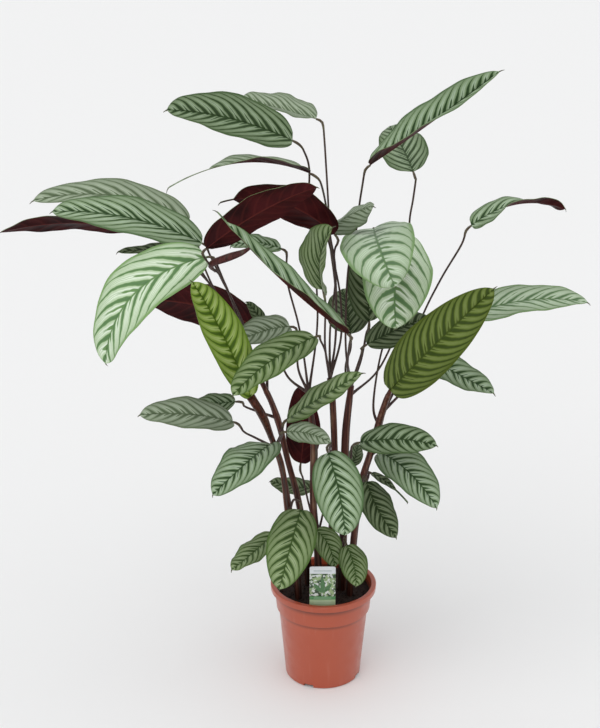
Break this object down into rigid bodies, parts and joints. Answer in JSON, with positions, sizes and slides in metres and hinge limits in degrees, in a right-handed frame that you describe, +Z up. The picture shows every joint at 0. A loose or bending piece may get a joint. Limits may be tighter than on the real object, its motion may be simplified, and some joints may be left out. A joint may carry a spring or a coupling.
{
  "type": "potted ctenanthe",
  "caption": "Tall leafy house plant in a round nursery pot: arching striped oblong leaves with dark red undersides on thin stalks above sheathed stems",
  "frame": {"origin": "middle of the pot's flat underside", "axes": "+Z up along the stems, -Y towards the viewer of the picture, +X to the viewer's right"},
  "size_m": [1.0761, 0.5367, 1.2111],
  "materials": {
    "pot": "terracotta-coloured moulded plastic, satin",
    "soil": "dark crumbly potting soil",
    "label": "coated card with a plain printed leaf motif",
    "stem": "red-brown leaf sheaths and stalks",
    "leaf_sage": "silvery sage blade with dark green feather stripes, dark red underneath",
    "leaf_pale": "pale mint blade with green feather bands",
    "leaf_young": "young olive and yellow-green blade with pale stripes",
    "leaf_dark": "shaded dark green blade with stripes",
    "leaf_red": "blade that shows its dark burgundy underside"
  },
  "bodies": {
    "root": {"pot": "pot", "soil": "soil", "plant_label": "label", "left_front_stem": "stem", "left_rear_stem": "stem", "left_middle_stem": "stem", "middle_left_stem": "stem", "middle_stem": "stem", "middle_right_stem": "stem", "right_front_stem": "stem", "right_rear_stem": "stem", "top_left_leaf": "leaf_sage", "top_back_leaf": "leaf_sage", "rolled_arch_leaf": "leaf_sage", "red_backed_front_leaf": "leaf_red", "red_backed_rear_leaf": "leaf_red", "long_slanting_leaf": "leaf_sage", "half_hidden_leaf": "leaf_sage", "far_left_upper_leaf": "leaf_sage", "far_left_middle_leaf": "leaf_sage", "far_left_red_leaf": "leaf_red", "dull_rolled_leaf": "leaf_dark", "pale_left_leaf": "leaf_pale", "red_backed_left_leaf": "leaf_red", "upright_front_leaf": "leaf_sage", "upright_centre_leaf": "leaf_sage", "yellow_young_leaf": "leaf_young", "drooping_centre_leaf": "leaf_sage", "spotted_centre_leaf": "leaf_sage", "narrow_centre_leaf": "leaf_dark", "pale_arching_leaf": "leaf_pale", "pale_hanging_leaf": "leaf_pale", "hidden_upright_leaf": "leaf_dark", "top_right_leaf": "leaf_sage", "backward_leaf": "leaf_sage", "right_upper_leaf": "leaf_sage", "olive_leaf": "leaf_young", "far_right_leaf": "leaf_sage", "right_low_leaf": "leaf_sage", "dark_right_leaf": "leaf_dark", "dark_inner_leaf": "leaf_dark", "slanting_low_leaf": "leaf_dark", "red_backed_low_leaf": "leaf_red", "small_front_leaf": "leaf_sage", "low_left_leaf": "leaf_sage", "low_left_rear_leaf": "leaf_sage", "low_left_drooping_leaf": "leaf_sage", "behind_stems_leaf": "leaf_dark", "hanging_middle_leaf": "leaf_sage", "dark_hanging_leaf": "leaf_dark", "right_flat_leaf": "leaf_sage", "right_drooping_leaf": "leaf_sage", "thin_right_leaf": "leaf_dark", "small_rear_leaf": "leaf_dark", "bottom_left_leaf": "leaf_sage", "bottom_front_leaf": "leaf_sage", "bottom_small_leaf": "leaf_sage", "bottom_right_leaf": "leaf_sage"}
  },
  "joints": []
}
